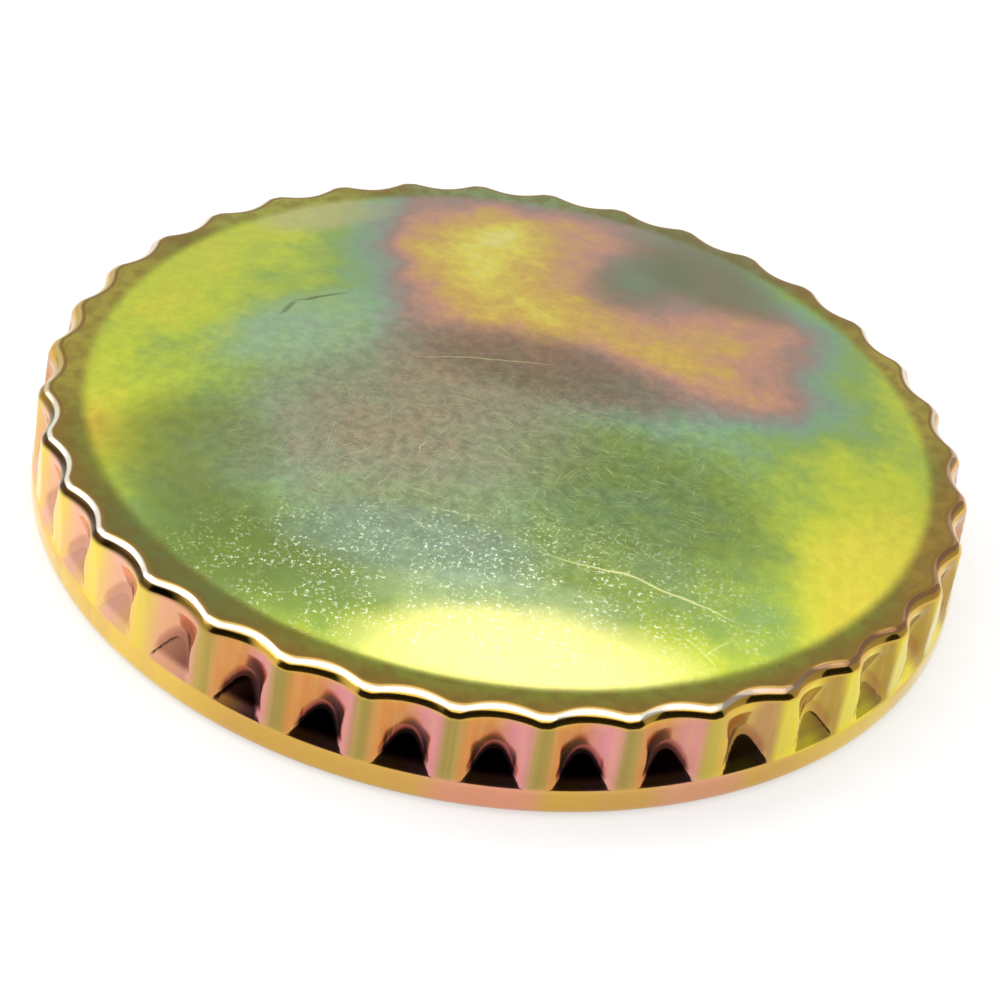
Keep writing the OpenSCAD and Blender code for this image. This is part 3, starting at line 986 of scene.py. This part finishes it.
DRAWING_STRETCH = (0.08, 5.0, 1.0)
spring = finish_part("bayonet_spring", "tempered_spring_steel", Metallic=1.0)
along_strip = spring.vector("MULTIPLY", spring.point, DRAWING_STRETCH)
drawn = spring.noise(along_strip, per_mm=1.0, detail=3.0, rough=0.6, dimensions="3D")
oxide = spring.noise(spring.point, per_mm=0.18, detail=3.0, dimensions="3D")
temper = spring.ramp(oxide, [(0.35, "#6f7680"), (0.5, "#8b8478"), (0.66, "#9a7a52")])
spring.set(Base_Color=toned(spring, temper, spring.ease(drawn, *NOISE_SPAN, low=0.8, high=1.1)))
spring.set(Roughness=spring.ease(drawn, *NOISE_SPAN, low=0.22, high=0.38))
spring.bump(drawn, depth=0.01)

rivet = finish_part("vent_rivet", "rivet_steel", Metallic=1.0)
hammered = rivet.noise(rivet.point, per_mm=0.9, detail=3.0, dimensions="3D")
rivet.set(Base_Color=rivet.ramp(hammered, [(0.3, "#8b8d90"), (0.55, "#b5b6b6"), (0.75, "#a59a84")]))
rivet.set(Roughness=rivet.ease(hammered, *NOISE_SPAN, low=0.25, high=0.45))
rivet.bump(hammered, depth=0.05)
print("zinc on the cup, tempered steel on the spring, steel on the rivet")

# %% [markdown]
# ## Floor, cards and light
# Polished metal shows the room, so the room is part of the finish. A broad and weak soft light hangs
# overhead, a narrow one behind it lights the front of the crown, where a highlight is painted as well,
# and a third stands at the left. Three curved cards that only the metal sees stand round the cap. The
# dark one on the camera's side gives the flutes their black hollows, together with the dark that is
# painted into them, and fades to white at the left. A grey one stands at the right and a pale one at
# the far side. A picture of a studio could light the metal too, but lamps and cards are easier to read
# and to move. The floor is white paper that keeps the cap's shadow.

# %% A soft lamp
def direction(azimuth, elevation):
    """A unit vector; azimuth 0 is straight behind the cap and 90 at its right."""
    turn, lift = math.radians(azimuth), math.radians(elevation)
    return Vector((math.sin(turn) * math.cos(lift), math.cos(turn) * math.cos(lift), math.sin(lift)))


def softbox(name, place, size, glow):
    """A soft oval lamp that faces the cap; glow is the brightness of its face."""
    lamp = bpy.data.lights.new(name, "AREA")
    lamp.shape = "ELLIPSE"
    lamp.size, lamp.size_y = size
    face = math.pi / 4 * size[0] * size[1]
    lamp.energy = glow * math.pi * face
    made = bpy.data.objects.new(name, lamp)
    made.location = place
    made.rotation_mode = "QUATERNION"
    made.rotation_quaternion = (-made.location).to_track_quat("-Z", "Y")
    made.visible_camera = False
    bpy.context.scene.collection.objects.link(made)
    return made


print("straight up is", [round(part, 3) for part in direction(0, 90)])

# %% A curved card
BLACK = (0, 0, 0, 1)
WHITE = (1, 1, 1, 1)
CARD_STEPS = 24
CARD_AWAY = 0.8
# the share of a card's height at which it has its upper grey
CARD_TURN = 0.55


def wall_card(name, start, end, high, foot, top, fade=0.1):
    """A curved card between two azimuths up to an elevation, that goes from one grey at its foot
    to another at its top and fades to white over some degrees at its end; the metal sees it,
    the camera doesn't."""
    points = []
    for step in range(CARD_STEPS + 1):
        azimuth = start + (end - start) * step / CARD_STEPS
        points += [direction(azimuth, 0) * CARD_AWAY, direction(azimuth, high) * CARD_AWAY]
    faces = [(2 * step, 2 * step + 2, 2 * step + 3, 2 * step + 1) for step in range(CARD_STEPS)]
    mesh = bpy.data.meshes.new(name)
    mesh.from_pydata(points, [], faces)
    paper = bpy.data.materials.new(name)
    paint = Paint(paper, Base_Color=BLACK, Roughness=1.0, Emission_Strength=1.0)
    lift = add_node(paint.tree, "ShaderNodeSeparateXYZ", Vector=paint.point).outputs["Z"]
    card_height = CARD_AWAY / MM * math.sin(math.radians(high))
    level = paint.ease(lift, 0.0, card_height * CARD_TURN, foot, top)
    towards_end = paint.vector("DOT_PRODUCT", paint.vector("NORMALIZE", paint.flat), direction(end, 0))
    level = paint.mix(paint.ease(towards_end, math.cos(math.radians(fade)), 1.0), level, 1.0)
    paint.set(Emission_Color=paint.blend(level, BLACK, WHITE))
    paper.cycles.emission_sampling = "NONE"
    mesh.materials.append(paper)
    made = bpy.data.objects.new(name, mesh)
    bpy.context.scene.collection.objects.link(made)
    made.visible_camera = False
    made.visible_shadow = False
    made.visible_diffuse = False
    return made


print("a card has", CARD_STEPS, "faces and stands", round(CARD_AWAY / MM), "mm away")

# %% The floor
FLOOR_REACH = 3.0
FLOOR_GREY = (0.75, 0.75, 0.75, 1)
FLOOR_GLOW = 0.6


def seen_plainly(tree):
    """1 for the camera and for rays that metal mirrors or glass lets through, else 0."""
    path = tree.nodes.new("ShaderNodeLightPath").outputs
    first = add_node(tree, "ShaderNodeMath", {"operation": "MAXIMUM"})
    feed(tree, first, 0, path["Is Camera Ray"])
    feed(tree, first, 1, path["Is Glossy Ray"])
    seen = add_node(tree, "ShaderNodeMath", {"operation": "MAXIMUM"})
    feed(tree, seen, 0, first.outputs[0])
    feed(tree, seen, 1, path["Is Transmission Ray"])
    return seen.outputs[0]


corners = [(x * FLOOR_REACH, y * FLOOR_REACH, 0) for x, y in ((-1, -1), (1, -1), (1, 1), (-1, 1))]
floor_mesh = bpy.data.meshes.new("floor")
floor_mesh.from_pydata(corners, [], [(0, 1, 2, 3)])
floor = bpy.data.objects.new("floor", floor_mesh)
bpy.context.scene.collection.objects.link(floor)
floor_paper = bpy.data.materials.new("floor_paper")
floor_paint = Paint(floor_paper, Base_Color=FLOOR_GREY, Roughness=0.9, Emission_Color=WHITE)
floor_glow = floor_paint.sum("MULTIPLY", seen_plainly(floor_paint.tree), FLOOR_GLOW)
floor_paint.set(Emission_Strength=floor_glow)
floor_paper.cycles.emission_sampling = "NONE"
floor_mesh.materials.append(floor_paper)
print("floor:", round(2 * FLOOR_REACH, 1), "m wide")

# %% Lamps and cards round the cap
lamps = [
    softbox("overhead_softbox", place=(-0.04, -0.05, 0.45), size=(0.75, 0.64), glow=0.6),
    softbox("far_softbox", place=(-0.02, 0.2, 0.42), size=(0.5, 0.13), glow=1.6),
    softbox("left_softbox", place=(-0.46, 0.04, 0.38), size=(0.5, 0.4), glow=1.2),
]
cards = [
    wall_card("dark_card", start=104, end=258, high=45, foot=0.03, top=0.005, fade=34),
    wall_card("right_card", start=40, end=104, high=50, foot=0.5, top=0.4),
    wall_card("far_card", start=-60, end=40, high=45, foot=0.8, top=0.9),
]
print("lamps and cards:", [made.name for made in lamps + cards])

# %% White surroundings
# how bright the room is as light on the cap, and as the camera and the metal see it
ROOM_LIGHT = 0.25
ROOM_SEEN = 1.0

world = bpy.data.worlds.new("studio")
bpy.context.scene.world = world
world.use_nodes = True
tree = world.node_tree
back = tree.nodes["Background"]
seen = seen_plainly(tree)
level = add_node(tree, "ShaderNodeMapRange", Value=seen)
feed(tree, level, "To Min", ROOM_LIGHT)
feed(tree, level, "To Max", ROOM_SEEN)
feed(tree, back, "Color", WHITE)
feed(tree, back, "Strength", level.outputs[0])
bpy.context.scene.view_settings.view_transform = "Standard"
print("room:", ROOM_LIGHT, "as light and", ROOM_SEEN, "as seen")
